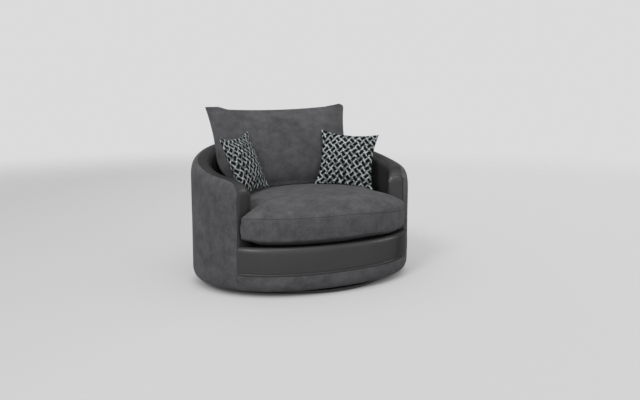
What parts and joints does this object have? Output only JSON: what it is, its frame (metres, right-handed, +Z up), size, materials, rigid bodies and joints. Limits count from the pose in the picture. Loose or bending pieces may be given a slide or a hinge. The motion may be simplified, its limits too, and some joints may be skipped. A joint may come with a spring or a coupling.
{
  "type": "cuddle chair",
  "caption": "Wide oval tub chair that turns on a round base, with a crowned seat cushion, a loose back cushion and patterned scatter cushions.",
  "frame": {"origin": "on the floor under the turning axis, at the middle of the chair's footprint", "axes": "+Z up, +X along the chair's width to its left-hand arm as it faces, the chair faces -Y"},
  "size_m": [1.2, 0.912, 0.9068],
  "materials": {
    "fabric": "dark grey brushed suede-like cloth",
    "leather": "dark grey smooth faux leather, satin",
    "pattern_fabric": "black and silver-grey basket weave",
    "black_cloth": "black upholsterer's cloth",
    "plywood": "raw plywood",
    "black_board": "board lacquered satin black",
    "steel": "zinc-plated steel",
    "glide_plastic": "black plastic"
  },
  "bodies": {
    "base": {"base_disc": "black_board", "base_glide_1": "glide_plastic", "base_glide_2": "glide_plastic", "base_glide_3": "glide_plastic", "base_glide_4": "glide_plastic", "base_glide_5": "glide_plastic", "base_glide_6": "glide_plastic", "turntable_lower_ring": "steel", "turntable_screw_1": "steel", "turntable_screw_2": "steel", "turntable_screw_3": "steel", "turntable_screw_4": "steel"},
    "bearing": {"ball_cage": "steel"},
    "tub": {"turntable_upper_ring": "steel", "frame_bolt_1": "steel", "frame_bolt_2": "steel", "frame_bolt_3": "steel", "frame_bolt_4": "steel", "base_frame": "plywood", "frame_rib_1": "plywood", "frame_rib_2": "plywood", "frame_rib_3": "plywood", "frame_rib_4": "plywood", "frame_rib_5": "plywood", "frame_rib_6": "plywood", "frame_rib_7": "plywood", "front_post_1": "plywood", "front_post_2": "plywood", "front_post_3": "plywood", "top_rail": "plywood", "seat_ring": "plywood", "front_board": "plywood", "seat_spring_1": "steel", "seat_spring_2": "steel", "seat_spring_3": "steel", "seat_spring_4": "steel", "seat_spring_5": "steel", "deck_cloth": "black_cloth", "bottom_cloth": "black_cloth", "outer_cover": "fabric", "inner_cover": "leather", "plinth_band": "fabric", "seat_border": "leather", "arm_facing_left": "leather", "arm_facing_right": "leather"},
    "seat": {"seat_cushion": "fabric"},
    "back": {"back_cushion": "fabric"},
    "scatter_left": {"scatter_cushion_left": "pattern_fabric"},
    "scatter_right": {"scatter_cushion_right": "pattern_fabric"}
  },
  "joints": [
    {"name": "seat_swivel", "type": "hinge", "parent": "base", "child": "tub", "pos_m": [0, 0, 0.025], "axis": [0, 0, 1], "continuous": true},
    {"name": "bearing_turn", "type": "hinge", "parent": "base", "child": "bearing", "pos_m": [0, 0, 0.025], "axis": [0, 0, 1], "continuous": true},
    {"name": "seat_lift", "type": "slide", "parent": "tub", "child": "seat", "axis": [0, 0, 1], "range_m": [0, 0.4]},
    {"name": "back_lift", "type": "slide", "parent": "seat", "child": "back", "axis": [0, 0, 1], "range_m": [0, 0.35]},
    {"name": "scatter_left_lift", "type": "slide", "parent": "back", "child": "scatter_left", "axis": [0, 0, 1], "range_m": [0, 0.35]},
    {"name": "scatter_right_lift", "type": "slide", "parent": "back", "child": "scatter_right", "axis": [0, 0, 1], "range_m": [0, 0.35]}
  ],
  "couplings": [
    {"joint": "bearing_turn", "follows": "seat_swivel", "ratio": 0.5}
  ]
}
